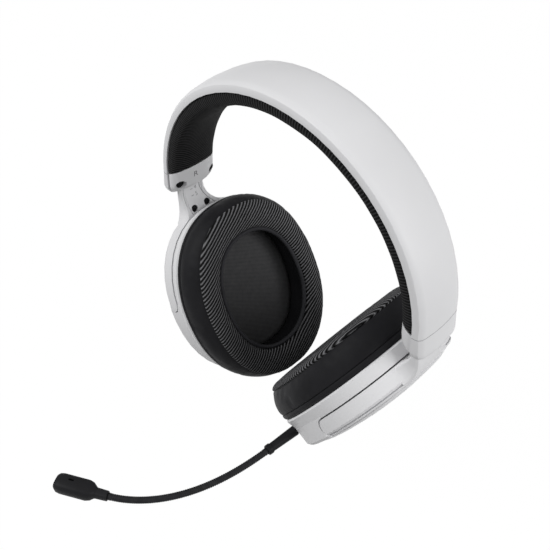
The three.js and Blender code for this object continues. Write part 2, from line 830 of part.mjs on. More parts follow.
const socketEnd = -15;
const neckStart = stemLength + fitGap;
const neckEnd = neckStart + neckLength;

function micSocketGeometry() {
  const sleeve = micBar([[socketEnd, 3.5], [-1.2, 3.5]], roundSides);
  return cut(sleeve, micBar([[1 - plugLength - fitGap - 1, plugRadius + fitGap], [0, plugRadius + fitGap]], roundSides));
}

function plugGeometry() {
  const tip = -plugLength;
  return micBar([[tip, 0.8], [tip + 1.2, plugRadius], [fitGap * 0.5, plugRadius]], 16);
}

function stemGeometry() {
  const root = 2.2;
  const collar = stemLength - 3.2;
  return micBar(
    [[root, stemRadius - 0.4], [root + 0.6, stemRadius], [collar, stemTipRadius], [collar + 0.4, stemTipRadius + 0.5],
      [stemLength - 0.4, stemTipRadius + 0.5], [stemLength, stemTipRadius]],
    roundSides,
  );
}

function gooseneckGeometry() {
  const plain = 2 * neckRadius;
  const pitch = (neckLength - 2 * plain) / neckRibs;
  const ribs = Array.from({ length: neckRibs }, (_, i) => {
    const start = neckStart + plain + pitch * i;
    return [[start + 0.25 * pitch, neckRadius], [start + 0.75 * pitch, neckRadius - neckRibDepth]];
  }).flat();
  return micBar([[neckStart, neckRadius], ...ribs, [neckEnd, neckRadius]], 8);
}

// The capsule is a softly rounded box in line with the end of the gooseneck.
const capsuleStart = neckEnd + fitGap;
const capsuleFrame = new THREE.Matrix4().makeRotationZ(-headingAt(neckEnd));
capsuleFrame.setPosition(micPoint(capsuleStart));

function capsuleOutline(halfWidth, halfHeight) {
  const power = 3;
  return Array.from({ length: capsulePoints }, (_, i) => {
    const t = (2 * Math.PI * i) / capsulePoints;
    const [c, s] = [Math.cos(t), Math.sin(t)];
    return [
      halfWidth * Math.sign(c) * Math.abs(c) ** (2 / power),
      halfHeight * Math.sign(s) * Math.abs(s) ** (2 / power),
    ];
  });
}

function capsuleGeometry() {
  const [w, h] = [capsuleWidth / 2, capsuleHeight / 2];
  const stations = [
    [0, 2.5, 2.5], [6.6, 2.7, 2.7], [7.2, 0.6 * w, 0.66 * h], [9, 0.86 * w, 0.88 * h], [11.5, w, h],
    [capsuleLength - 3.6, w, h], [capsuleLength - 1.2, 0.92 * w, 0.9 * h], [capsuleLength, 0.74 * w, 0.7 * h],
  ];
  const body = loft(
    stations.map(([, halfWidth, halfHeight]) => capsuleOutline(halfWidth, halfHeight)),
    (i, x, z) => new THREE.Vector3(x, -stations[i][0], z + (i > 1 ? capsuleRise : 0)),
  );
  const port = box([-1.8, -0.7], [-capsuleLength + 7.2, -capsuleLength + 10.4], [0, h + 1]);
  const pocket = rod(3, [0, -capsuleLength + 11, 0.5], [0, -capsuleLength + 5, 0.5]);
  return moved(cut(body, port, pocket), capsuleFrame);
}

function micElementGeometry() {
  return moved(rod(2.7, [0, -capsuleLength + 10.7, 0.5], [0, -capsuleLength + 7.6, 0.5]), capsuleFrame);
}

// What the left housing leaves open for its controls, its inlet and the microphone.
function leftOpenings() {
  const half = wheelThickness / 2;
  const micHole = micBar([[socketEnd - 2, 3.5 + fitGap], [4, 3.5 + fitGap]], roundSides);
  return [
    wheelDisc(wheelRadius + 0.5, half + 0.4, 1.9, half + 2.1),
    buttonRod(buttonRadius + fitGap, -9, 4),
    inletRod(inletRadius + fitGap, inletZ - 2, inletTop),
    moved(micHole, cupInverse),
  ];
}

// Materials

function finish(color, roughness, metalness = 0) {
  return new THREE.MeshStandardMaterial({ color, roughness, metalness });
}

const whitePlastic = finish(0xdcdcde, 0.45);
const whiteSatin = finish(0xcfcfd2, 0.4);
const blackPlastic = finish(0x17171a, 0.5);
const leatherette = finish(0x1d1d20, 0.45);
const knit = finish(0x1a1a1d, 0.95);
const foam = finish(0x222225, 1);
const steel = finish(0x9a9ca0, 0.35, 1);
const film = finish(0x3a3a3e, 0.3);
const circuit = finish(0x1f4a35, 0.6);

// Assembly

const headset = new THREE.Group();

function add(name, geometry, material, parent = headset) {
  const mesh = new THREE.Mesh(geometryOf(solidOf(geometry)), material);
  mesh.name = name;
  parent.add(mesh);
}

function cupGroup(sign) {
  const group = new THREE.Group();
  group.position.set(sign * cupCentreX, cupSetback, cupCentreZ);
  group.rotation.y = sign * rad(cupTilt);
  headset.add(group);
  return group;
}

const sides = [
  { name: 'left', cup: cupGroup(1), face: (geometry) => geometry },
  { name: 'right', cup: cupGroup(-1), face: mirrored },
];
const ends = [['front', -1], ['rear', 1]];

add('band_shell', shellGeometry(), whitePlastic);
add('band_spring', springGeometry(), steel);
add('band_carrier', carrierGeometry(), blackPlastic);
add('band_pad', padGeometry(), knit);

for (const { name, cup, face } of sides) {
  add(`${name}_end_cap`, face(endCapGeometry()), whitePlastic);
  add(`${name}_end_cover`, face(endCoverGeometry()), whiteSatin);
  add(`${name}_detent_spring`, face(detentGeometry()), steel);
  add(`${name}_hanger`, face(hangerGeometry()), whitePlastic);
  add(`${name}_size_strip`, face(inlayGeometry()), whiteSatin);
  for (const [end, sign] of ends) {
    add(`${name}_end_screw_${end}`, face(capScrewGeometry(sign)), blackPlastic);
    add(`${name}_strip_screw_${end}`, face(stripScrewGeometry(sign)), blackPlastic);
    add(`${name}_pivot_pin_${end}`, face(pinGeometry(sign)), steel, cup);
  }
  add(`${name}_housing`, face(housingGeometry(name)), whitePlastic, cup);
  add(`${name}_outer_cover`, face(outerCoverGeometry()), whitePlastic, cup);
  add(`${name}_baffle`, face(baffleGeometry()), blackPlastic, cup);
  add(`${name}_driver_frame`, face(driverFrameGeometry()), blackPlastic, cup);
  add(`${name}_driver_magnet`, face(magnetGeometry()), steel, cup);
  add(`${name}_diaphragm`, face(diaphragmGeometry()), film, cup);
  add(`${name}_acoustic_cloth`, face(clothGeometry()), foam, cup);
  add(`${name}_cushion_ring`, face(cushionRingGeometry()), blackPlastic, cup);
  add(`${name}_ear_cushion`, face(cushionGeometry()), leatherette, cup);
}

const leftCup = sides[0].cup;
add('volume_wheel', wheelGeometry(), blackPlastic, leftCup);
add('mute_button', buttonGeometry(), blackPlastic, leftCup);
add('audio_inlet', inletGeometry(), blackPlastic, leftCup);
add('circuit_board', boardGeometry(), circuit, leftCup);
add('mic_socket', micSocketGeometry(), blackPlastic);
add('mic_plug', plugGeometry(), steel);
add('mic_stem', stemGeometry(), blackPlastic);
add('mic_gooseneck', gooseneckGeometry(), blackPlastic);
add('mic_capsule', capsuleGeometry(), blackPlastic);
add('mic_element', micElementGeometry(), steel);

export default headset;
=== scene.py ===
"""Final looks of an over-ear headset with a boom microphone."""

import math

import bmesh
import bpy
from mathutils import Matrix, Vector, noise


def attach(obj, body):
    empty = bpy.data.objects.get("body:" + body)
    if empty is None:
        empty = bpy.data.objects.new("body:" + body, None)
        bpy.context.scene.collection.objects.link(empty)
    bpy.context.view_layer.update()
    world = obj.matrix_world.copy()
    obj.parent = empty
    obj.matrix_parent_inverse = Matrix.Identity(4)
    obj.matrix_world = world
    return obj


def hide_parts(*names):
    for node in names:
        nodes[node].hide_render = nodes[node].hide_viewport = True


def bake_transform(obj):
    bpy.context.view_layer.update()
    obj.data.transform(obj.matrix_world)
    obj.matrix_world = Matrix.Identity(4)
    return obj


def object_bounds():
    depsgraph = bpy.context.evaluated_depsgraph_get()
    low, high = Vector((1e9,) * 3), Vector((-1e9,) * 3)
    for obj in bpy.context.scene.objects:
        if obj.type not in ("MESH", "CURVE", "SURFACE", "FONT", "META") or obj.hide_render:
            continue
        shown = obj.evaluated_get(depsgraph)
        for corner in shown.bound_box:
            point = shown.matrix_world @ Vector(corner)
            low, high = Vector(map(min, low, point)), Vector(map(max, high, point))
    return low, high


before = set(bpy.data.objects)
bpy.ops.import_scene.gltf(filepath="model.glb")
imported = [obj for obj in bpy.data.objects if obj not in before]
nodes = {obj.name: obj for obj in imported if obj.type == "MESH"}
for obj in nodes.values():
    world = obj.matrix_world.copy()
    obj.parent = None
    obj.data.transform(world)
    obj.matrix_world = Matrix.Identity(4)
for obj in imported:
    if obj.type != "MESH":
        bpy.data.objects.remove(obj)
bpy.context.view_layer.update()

MM = 0.001

# Sizes of the solids, in millimetres and degrees
BAND_RADIUS = 88.9
BAND_HALF_ANGLE = 87.0
BAND_WIDTH = 29.5
PAD_BACK = 6.0
PAD_SIDE = 5.2
PAD_CROWN = 4.0
PAD_MARGIN = 0.5
PAD_SLANT = 0.75
SEAM_GAP = 0.5
BAND_CENTRE_Z = PAD_BACK + PAD_SIDE + PAD_CROWN - BAND_RADIUS
CUP_CENTRE = (54.2, 5.0, -147.46)
CUP_TILT = 29.4
OVAL_POWER = 2.18
RIM_HALF_WIDTH = 45.9
RIM_HALF_HEIGHT = 54.9
FLANK_INSET = 1.4
RIM_X = -13.2
RING_BACK = RIM_X + 0.15
CUSHION_BACK = RIM_X - 0.3
CUSHION_FRONT = CUSHION_BACK - 19.1
CUSHION_SEAT = RING_BACK - 1.3
OPENING_HALF_WIDTH = 28.1
OPENING_HALF_HEIGHT = 35.9
MIC_X = -4.75
MIC_Z = -40.0
MIC_HEADING = 5.03
MIC_BEND = 0.219
MIC_CURL = 0.00435
STEM_LENGTH = 23.5
NECK_START = STEM_LENGTH + 0.3
NECK_LENGTH = 90.8
NECK_RADIUS = 1.95

# Sizes of the soft covers' detail, in millimetres and degrees
RIB_PITCH = 1.65
RIB_ANGLE = 30.0
LIP_OVERHANG = 1.5
COVER_SWELL = 0.28
COVER_PUCKER = 0.22
COVER_RADIUS = 42
COVER_GLUED = 4.5
COVER_SEAM_DEPTH = 3.0
COVER_SEAM_SPREAD = 1.8
PAD_COVER = 1.3
PAD_LUMP = 0.25
PAD_LUMP_LIMIT = 0.2
CLOTH_ANGLE = -31.0
CLOTH_BOW = 1.1
CLOTH_THICKNESS = 0.25
CLOTH_SEAT = 0.38
CLOTH_MARGIN_Y = 2.4
CLOTH_MARGIN_Z = 2.6
NECK_RIB_PITCH = 1.15
NECK_RIB_DEPTH = 0.13
NECK_PLAIN_END = 2

# Sizes of the thin raised lines and marks, in millimetres. The seam lines, the hanger's lines and
# the scale are grey painted shade
SEAM_WIDTH = 0.36
SEAM_HEIGHT = 0.03
SEAM_ROOT = 0.3
MARK_ROOT = 0.03
MARK_REACH = 12
LETTER_SIZE = 3.6
LETTER_HEIGHT = 0.06
LETTER_PLACE = (15.2, -2.2, 0.6)
SCALE_SIZE = 2.3
SCALE_HEIGHT = 0.05
SCALE_START = 4.4
SCALE_PITCH = 4.2
SCALE_DEPTH = 8.0
NUMBER_Y = 2.4
TICK_WIDTH = 1.6
TICK_HEIGHT = 0.4
TICK_Y = -0.4
HANGER_LINE_WIDTH = 0.3
HANGER_LINE_LENGTH = 19
HANGER_LINE_MIDDLE = 15.5
HANGER_LINE_Y = 6.6

# The cloth simulation that stuffs the cushions. The movements are in millimetres
WALL_MOVEMENT = 0.7
FACE_MOVEMENT = 0.2
STUFFING_PRESSURE = 5.0
STUFFING_SCALE = 10
STUFFING_FRAMES = 14

# How finely the covers are cut
PAD_STEPS = 220
CUSHION_STEPS = 168
CLOTH_RINGS = 14
CLOTH_STEPS = 96
NECK_SIDES = 20
NECK_STEPS_PER_RIB = 4

# How the solids' faces are joined and smoothed, in millimetres and degrees
WELD_DISTANCE = 0.002
SHARP_ANGLE = 32

# The studio, in metres. Only the floor's drop is in millimetres: it leaves room for the
# lowered cups
FLOOR_DROP = 30.0
FLOOR_SIZE = 12.0
WORLD_LEVEL = 0.41
MIDDLE = (0, 0, -0.09)
CAMERA_LENS = 49.77
CAMERA_PLACE = (0.192958, -0.209823, 0.182478)
CAMERA_TARGET = (-0.014876, 0.0, -0.109255)


# Places


def band_place(angle, depth, y):
    """A point of the headband, by its angle from the top, its depth under the skin and y."""
    radius = BAND_RADIUS - depth
    t = math.radians(angle)
    return Vector((radius * math.sin(t), y, BAND_CENTRE_Z + radius * math.cos(t))) * MM


def end_place(sign, depth, y, along):
    """A point of a straight end of the band, by its depth, y and distance past the band."""
    t = math.radians(BAND_HALF_ANGLE)
    radius = BAND_RADIUS - depth
    x = radius * math.sin(t) + along * math.cos(t)
    z = BAND_CENTRE_Z + radius * math.cos(t) - along * math.sin(t)
    return Vector((sign * x, y, z)) * MM


def cup_place(sign, x, y, z):
    """A point of an ear cup, from its own x towards the outside, y and z."""
    t = math.radians(CUP_TILT)
    wide = CUP_CENTRE[0] + x * math.cos(t) + z * math.sin(t)
    high = CUP_CENTRE[2] - x * math.sin(t) + z * math.cos(t)
    return Vector((sign * wide, CUP_CENTRE[1] + y, high)) * MM


def oval_point(half_width, half_height, angle):
    """A point (y, z) of the cups' oval, by its angle from the y axis."""
    c = math.cos(math.radians(angle))
    s = math.sin(math.radians(angle))
    power = 2 / OVAL_POWER
    return (
        half_width * math.copysign(abs(c) ** power, c),
        half_height * math.copysign(abs(s) ** power, s),
    )


def heading_at(along):
    """The boom's angle from straight ahead, at a distance along it."""
    past = max(0.0, along - STEM_LENGTH)
    return math.radians(MIC_HEADING + MIC_BEND * past + MIC_CURL * past**2)


def mic_points(distances):
    """Points along the microphone's route, at rising distances from where it leaves the cup."""
    flank_w = RIM_HALF_WIDTH - FLANK_INSET
    flank_h = RIM_HALF_HEIGHT - FLANK_INSET
    reach = flank_w * (1 - abs(MIC_Z / flank_h) ** OVAL_POWER) ** (1 / OVAL_POWER)
    point = cup_place(1, MIC_X, -reach, MIC_Z) / MM
    here = 0.0
    points = []
    for distance in distances:
        steps = max(1, math.ceil((distance - here) / 0.25))
        step = (distance - here) / steps
        for i in range(steps):
            heading = heading_at(here + (i + 0.5) * step)
            point = point + Vector((-math.sin(heading), -math.cos(heading), 0)) * step
        here = distance
        points.append(point * MM)
    return points


# Meshes


def curve_value(p, q, r, s, t):
    """The value at t, from 0 at q to 1 at r, of a smooth curve through p, q, r and s."""
    bend = (2 * p - 5 * q + 4 * r - s) * t**2
    twist = (3 * q - p - 3 * r + s) * t**3
    return 0.5 * (2 * q + (r - p) * t + bend + twist)


def smooth_line(points, count):
    """A smooth curve through points, with count steps between each pair."""
    line = []
    last = len(points) - 1
    for i in range(last):
        around = [points[min(max(k, 0), last)] for k in range(i - 1, i + 3)]
        for step in range(count):
            line.append(tuple(curve_value(*values, step / count) for values in zip(*around)))
    line.append(tuple(points[last]))
    return line


def new_object(name, data):
    """An object in the scene for a mesh, a curve, a light or a camera."""
    obj = bpy.data.objects.new(name, data)
    bpy.context.scene.collection.objects.link(obj)
    return obj


def new_mesh(name, verts, faces):
    """A mesh from its vertices and faces, without an object."""
    mesh = bpy.data.meshes.new(name)
    mesh.from_pydata(verts, [], faces)
    return mesh


def face_outwards(mesh):
    """Turns the faces of a closed mesh where they look inwards."""
    volume = 0.0
    for face in mesh.polygons:
        corners = [mesh.vertices[i].co for i in face.vertices]
        for b, c in zip(corners[1:], corners[2:]):
            volume += corners[0].dot(b.cross(c))
    if volume < 0:
        mesh.flip_normals()


def grid_mesh(name, rows, uvs, slots, closed_rows=False, closed_columns=False):
    """A mesh through rows of points.

    Each point has a place in the fabric, and each column has a material slot.
    """
    count = len(rows[0])
    verts = [p for row in rows for p in row]
    flat = [uv for row in uvs for uv in row]
    faces = []
    marks = []
    row_steps = len(rows) if closed_rows else len(rows) - 1
    column_steps = count if closed_columns else count - 1
    for i in range(row_steps):
        n = (i + 1) % len(rows)
        for j in range(column_steps):
            k = (j + 1) % count
            faces.append((i * count + j, n * count + j, n * count + k, i * count + k))
            marks.append(slots[j])
    if closed_columns and not closed_rows:
        faces.append(tuple(range(count)))
        faces.append(tuple((len(rows) - 1) * count + j for j in reversed(range(count))))
        marks += [slots[0], slots[0]]
    mesh = new_mesh(name, verts, faces)
    layer = mesh.uv_layers.new(name="fabric")
    for loop in mesh.loops:
        layer.data[loop.index].uv = flat[loop.vertex_index]
    mesh.polygons.foreach_set("material_index", marks)
    mesh.polygons.foreach_set("use_smooth", [True] * len(mesh.polygons))
    mesh.update()
    face_outwards(mesh)
    return new_object(name, mesh)


def dress(obj, *materials):
    """Gives an object its materials. Which face wears which slot stays as it is."""
    slots = obj.data.materials
    while len(slots) > len(materials):
        slots.pop()
    for i, item in enumerate(materials):
        if i < len(slots):
            slots[i] = item
        else:
            slots.append(item)


def smoothing_group(angle):
    """A modifier that joins a solid's faces and shades them smooth, except over sharp edges."""
    group = bpy.data.node_groups.new("smooth_faces", "GeometryNodeTree")
    group.interface.new_socket("Geometry", in_out="INPUT", socket_type="NodeSocketGeometry")
    group.interface.new_socket("Geometry", in_out="OUTPUT", socket_type="NodeSocketGeometry")
    start = group.nodes.new("NodeGroupInput")
    plain = group.nodes.new("GeometryNodeRemoveAttribute")
    plain.inputs["Name"].default_value = "custom_normal"
    weld = group.nodes.new("GeometryNodeMergeByDistance")
    weld.inputs["Distance"].default_value = WELD_DISTANCE * MM
    smooth = group.nodes.new("GeometryNodeSetShadeSmooth")
    turn = group.nodes.new("GeometryNodeInputMeshEdgeAngle")
    sharp = group.nodes.new("FunctionNodeCompare")
    sharp.inputs["B"].default_value = math.radians(angle)
    crease = group.nodes.new("GeometryNodeSetShadeSmooth")
    crease.domain = "EDGE"
    crease.inputs["Shade Smooth"].default_value = False
    end = group.nodes.new("NodeGroupOutput")
    link = group.links.new
    link(start.outputs[0], plain.inputs["Geometry"])
    link(plain.outputs[0], weld.inputs["Geometry"])
    link(weld.outputs[0], smooth.inputs["Geometry"])
    link(turn.outputs["Unsigned Angle"], sharp.inputs["A"])
    link(smooth.outputs[0], crease.inputs["Geometry"])
    link(sharp.outputs["Result"], crease.inputs["Selection"])
    link(crease.outputs[0], end.inputs[0])
    return group


# Materials


class Shader:
    """A procedural material, built node by node."""

    def __init__(self, name, color, roughness, metallic=0.0):
        self.material = bpy.data.materials.new(name)
        self.material.use_nodes = True
        self.tree = self.material.node_tree
        self.surface = self.tree.nodes["Principled BSDF"]
        self.surface.inputs["Base Color"].default_value = (*color, 1)
        self.surface.inputs["Roughness"].default_value = roughness
        self.surface.inputs["Metallic"].default_value = metallic

    def add(self, kind, **settings):
        node = self.tree.nodes.new(kind)
        for key, value in settings.items():
            setattr(node, key, value)
        return node

    def link(self, source, target):
        self.tree.links.new(source, target)

    def set(self, name, value):
        self.surface.inputs[name].default_value = value

    def place(self):
        """The place in the object's own space, in metres."""
        return self.add("ShaderNodeTexCoord").outputs["Object"]

    def math(self, operation, *values):
        node = self.add("ShaderNodeMath", operation=operation)
        for slot, value in zip(node.inputs, values):
            if isinstance(value, (int, float)):
                slot.default_value = value
            else:
                self.link(value, slot)
        return node.outputs[0]

    def noise(self, size, detail=2.0, roughness=0.5):
        """Noise whose patches are about size metres wide."""
        node = self.add("ShaderNodeTexNoise")
        node.inputs["Scale"].default_value = 1 / size
        node.inputs["Detail"].default_value = detail
        node.inputs["Roughness"].default_value = roughness
        self.link(self.place(), node.inputs["Vector"])
        return node.outputs["Fac"]

    def cells(self, size):
        """The distance to the edge of cells about size metres wide."""
        node = self.add("ShaderNodeTexVoronoi", feature="DISTANCE_TO_EDGE")
        node.inputs["Scale"].default_value = 1 / size
        self.link(self.place(), node.inputs["Vector"])
        return node.outputs["Distance"]

    def ramp(self, value, *stops):
        """Colours, or greys, at places from 0 to 1."""
        node = self.add("ShaderNodeValToRGB")
        elements = node.color_ramp.elements
        while len(elements) < len(stops):
            elements.new(0.5)
        for element, (place, color) in zip(elements, stops):
            element.position = place
            if isinstance(color, (int, float)):
                color = (color, color, color)
            element.color = (*color, 1)
        self.link(value, node.inputs["Fac"])
        return node.outputs["Color"]

    def color(self, source):
        self.link(source, self.surface.inputs["Base Color"])

    def rough(self, value, low, high):
        """Roughness from low to high, as value goes from 0 to 1."""
        node = self.add("ShaderNodeMapRange")
        node.inputs["To Min"].default_value = low
        node.inputs["To Max"].default_value = high
        self.link(value, node.inputs["Value"])
        self.link(node.outputs["Result"], self.surface.inputs["Roughness"])

    def bump(self, height, distance, strength=1.0):
        """Relief, distance metres high, on top of any relief that is there already."""
        node = self.add("ShaderNodeBump")
        node.inputs["Strength"].default_value = strength
        node.inputs["Distance"].default_value = distance
        self.link(height, node.inputs["Height"])
        previous = self.surface.inputs["Normal"].links
        if previous:
            self.link(previous[0].from_socket, node.inputs["Normal"])
        self.link(node.outputs["Normal"], self.surface.inputs["Normal"])

    def fabric(self):
        """The two places in the fabric, in millimetres."""
        spot = self.add("ShaderNodeUVMap", uv_map="fabric").outputs["UV"]
        parts = self.add("ShaderNodeSeparateXYZ")
        self.link(spot, parts.inputs[0])
        return parts.outputs["X"], parts.outputs["Y"]

    def wave(self, value, pitch):
        """A wave from 0 to 1 with one crest for each pitch."""
        turned = self.math("SINE", self.math("MULTIPLY", value, 2 * math.pi / pitch))
        return self.math("MULTIPLY_ADD", turned, 0.5, 0.5)


def moulded(name, color, roughness, grain=0.0003, depth=0.000006, spread=0.01, gloss=0.5):
    """Moulded plastic with a fine spark-eroded grain."""
    shader = Shader(name, color, roughness)
    shader.set("Specular IOR Level", gloss)
    low = tuple(c * (1 - spread) for c in color)
    high = tuple(min(1.0, c * (1 + spread)) for c in color)
    shader.color(shader.ramp(shader.noise(0.02, 3.0), (0.3, low), (0.7, high)))
    shader.rough(shader.noise(0.004, 4.0), roughness - 0.05, roughness + 0.05)
    shader.bump(shader.noise(grain, 2.0), depth)
    return shader.material


def knit(name, pitch=RIB_PITCH, dark=1.0, relief=0.8):
    """Ribbed knit: rounded cords side by side, each twisted from fine yarn. The colour is painted
    lighter on each cord's crest and each twist of yarn and darker in the grooves: painted
    highlight and painted shade, with random fuzz in the tone.
    """
    shader = Shader(name, (0.02, 0.02, 0.022), 0.8)
    across, along = shader.fabric()
    drift = shader.math("MULTIPLY", shader.noise(0.005, 2.0), 0.45)
    rib = shader.wave(shader.math("ADD", across, drift), pitch)
    twist = shader.math("ADD", shader.math("MULTIPLY", across, 1.4), along)
    yarn = shader.wave(twist, 0.8)
    body = shader.math("POWER", rib, 1.5)
    strand = shader.math("MULTIPLY_ADD", yarn, 0.4, 0.6)
    fuzz = shader.math("MULTIPLY_ADD", shader.noise(0.0009, 3.0), 0.6, 0.7)
    tone = shader.math("MULTIPLY", shader.math("MULTIPLY", body, strand), fuzz)
    # From painted shade in the grooves to a painted highlight on the crests
    low, middle, high = 0.002 * dark, 0.05 * dark, 0.23 * dark
    rib_light_and_shade = (
        (0.04, (low, low, low * 1.05)),
        (0.4, (middle, middle, middle * 1.05)),
        (0.9, (high, high, high * 1.04)),
    )
    shader.color(shader.ramp(tone, *rib_light_and_shade))
    shader.bump(shader.math("MULTIPLY_ADD", strand, 0.25, rib), 0.0004, relief)
    shader.set("Specular IOR Level", 0.08)
    shader.set("Sheen Weight", 0.04)
    shader.set("Sheen Roughness", 0.5)
    return shader.material


def leather(name, tone=1.0):
    """Soft artificial leather with a fine pebbled grain."""
    low, high = 0.014 * tone, 0.02 * tone
    shader = Shader(name, (low, low, low * 1.1), 0.5)
    patch = shader.noise(0.015, 3.0)
    shader.color(shader.ramp(patch, (0.3, (low, low, low * 1.1)), (0.7, (high, high, high * 1.1))))
    shader.rough(shader.noise(0.003, 4.0), 0.42, 0.54)
    pebble = shader.math("MINIMUM", shader.cells(0.0007), 0.18)
    shader.bump(pebble, 0.00008, 0.35)
    shader.bump(shader.noise(0.006, 3.0), 0.00025, 0.3)
    shader.set("Specular IOR Level", 0.05)
    return shader.material


def mesh_cloth(name):
    """Thin acoustic cloth with fine raised lines. Its colour is lighter on the lines' crests and
    darker between them: painted highlight and painted shade, with slubs as random tone.
    """
    shader = Shader(name, (0.03, 0.03, 0.032), 0.9)
    across, along = shader.fabric()
    line = shader.wave(shader.math("ADD", across, shader.noise(0.03, 1.0)), 0.8)
    weft = shader.wave(along, 0.6)
    slub = shader.noise(0.0025, 3.0)
    height = shader.math("MULTIPLY_ADD", line, 0.5, shader.math("MULTIPLY", weft, 0.2))
    height = shader.math("MULTIPLY_ADD", slub, 0.4, height)
    # Lighter on the crests and darker in the hollows: painted highlight and painted shade
    shader.color(shader.ramp(height, (0.2, (0.045, 0.045, 0.047)), (0.95, (0.115, 0.115, 0.118))))
    shader.bump(height, 0.00006, 0.6)
    shader.set("Specular IOR Level", 0.2)
    shader.set("Sheen Weight", 0.05)
    return shader.material


def rubber(name):
    """The gooseneck's dull sleeve."""
    shader = Shader(name, (0.009, 0.009, 0.01), 0.55)
    dust = shader.noise(0.003, 4.0)
    shader.color(shader.ramp(dust, (0.3, (0.016, 0.016, 0.0175)), (0.75, (0.027, 0.027, 0.029))))
    shader.rough(shader.noise(0.0015, 3.0), 0.45, 0.6)
    shader.bump(shader.noise(0.0003, 2.0), 0.00002, 0.5)
    shader.set("Specular IOR Level", 0.08)
    return shader.material


def brushed(name, color, roughness):
    """Rolled steel with faint streaks."""
    shader = Shader(name, color, roughness, 1.0)
    stretch = shader.add("ShaderNodeMapping")
    stretch.inputs["Scale"].default_value = (300, 4000, 4000)
    shader.link(shader.place(), stretch.inputs["Vector"])
    streak = shader.add("ShaderNodeTexNoise")
    streak.inputs["Scale"].default_value = 1.0
    shader.link(stretch.outputs["Vector"], streak.inputs["Vector"])
    shader.rough(streak.outputs["Fac"], roughness - 0.08, roughness + 0.12)
    shader.bump(streak.outputs["Fac"], 0.00001, 0.4)
    return shader.material


white = moulded("white_plastic", (0.74, 0.74, 0.752), 0.42, gloss=0.35)
white_inner = moulded("white_satin", (0.74, 0.74, 0.752), 0.45, gloss=0.35)
black = moulded("black_plastic", (0.019, 0.019, 0.0205), 0.42, 0.0005, 0.00002, 0.15, 0.05)
black_gloss = moulded("black_screw", (0.004, 0.004, 0.0045), 0.35, 0.0005, 0.00001, 0.1, 0.2)
leatherette = leather("leatherette")
# The bead's leather is 2.4 times lighter: a painted sheen along the rim of the opening
piping_sheen = leather("piping_sheen", 2.4)
knitted = knit("knit")
pad_knit = knit("pad_knit", 1.5, 0.2, 0.3)
cloth = mesh_cloth("cloth")
sleeve = rubber("rubber")
steel = brushed("steel", (0.55, 0.56, 0.58), 0.32)
film = moulded("film", (0.05, 0.05, 0.055), 0.3, 0.001, 0.00002, 0.1)
circuit = moulded("circuit", (0.02, 0.10, 0.05), 0.4, 0.001, 0.00003, 0.2)
ink = moulded("mark_grey", (0.2, 0.2, 0.205), 0.6)
# Grey painted shade for the seam strips, the hanger's lines and the scale's embossed digits and
# ticks
painted_relief_shade = moulded("painted_relief_shade_grey", (0.34, 0.34, 0.35), 0.6)

# What the solids are made of, by a part of the name. The others are black plastic
FINISHES = (
    ("_housing", white),
    ("_outer_cover", white),
    ("_end_cap", white),
    ("_hanger", white),
    ("band_shell", white),
    ("_end_cover", white_inner),
    ("_size_strip", white_inner),
    ("_screw_", black_gloss),
    ("_pivot_pin_", steel),
    ("_spring", steel),
    ("_magnet", steel),
    ("mic_plug", steel),
    ("mic_element", steel),
    ("_diaphragm", film),
    ("circuit_board", circuit),
)

smooth_faces = smoothing_group(SHARP_ANGLE)
for name, node in nodes.items():
    finish = next((look for key, look in FINISHES if key in name), black)
    dress(node, finish)
    node.modifiers.new("smooth_faces", "NODES").node_group = smooth_faces


# Painted shade along the parting lines of the band's ends


def end_outline(mesh, origin, normal):
    """The ordered outline of a mesh's flat end in the plane through origin."""
    bm = bmesh.new()
    bm.from_mesh(mesh)
    bmesh.ops.remove_doubles(bm, verts=bm.verts, dist=WELD_DISTANCE * MM)
    level = {v for v in bm.verts if abs((v.co - origin).dot(normal)) < 0.01 * MM}
    ends = {f for f in bm.faces if all(v in level for v in f.verts)}
    ties = {}
    for edge in bm.edges:
        if sum(f in ends for f in edge.link_faces) == 1:
            for a, b in (edge.verts, reversed(edge.verts)):
                ties.setdefault(a, []).append(b)
    start = last = next(iter(ties))
    here = ties[start][0]
    outline = [start.co.copy()]
    while here is not start:
        outline.append(here.co.copy())
        here, last = next(v for v in ties[here] if v is not last), here
    bm.free()
    return outline


def seam_shade_line(side, sign):
    """A fine grey strip around the joint between the shell and an end cap: painted shade of the
    gap between them.
    """
    origin = end_place(sign, 0, 0, 0)
    along = (end_place(sign, 0, 0, 1) - origin).normalized()
    outline = end_outline(nodes["band_shell"].data, origin, along)
    count = len(outline)
    area = sum(outline[i - 1].cross(outline[i]).dot(along) for i in range(count))
    inward = 1 if area > 0 else -1
    verts = []
    for i in range(count):
        before = (outline[i] - outline[i - 1]).normalized()
        after = (outline[(i + 1) % count] - outline[i]).normalized()
        inner = along.cross(before + after).normalized() * inward
        for depth, shift in ((0, -1), (0, 1), (1, 1), (1, -1)):
            inset = (SEAM_ROOT * depth - SEAM_HEIGHT) * MM
            verts.append(outline[i] + inner * inset + along * shift * SEAM_WIDTH / 2 * MM)
    faces = []
    for i in range(count):
        for j in range(4):
            a, b = 4 * i, 4 * ((i + 1) % count)
            faces.append((a + j, a + (j + 1) % 4, b + (j + 1) % 4, b + j))
    mesh = new_mesh(f"{side}_seam_shade_line", verts, faces)
    face_outwards(mesh)
    obj = new_object(f"{side}_seam_shade_line", mesh)
    # The strip's grey is painted shade of the gap between the shell and the cap
    dress(obj, painted_relief_shade)
    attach(obj, "headband")


seam_shade_line("left", 1)
seam_shade_line("right", -1)


# Headband pad


def crown_at(share):
    """The pad's depth at a share of its half width."""
    bulge = (1 - abs(share) ** 2.6) ** 0.75 if abs(share) < 1 else 0.0
    return PAD_BACK + PAD_SIDE + PAD_CROWN * bulge


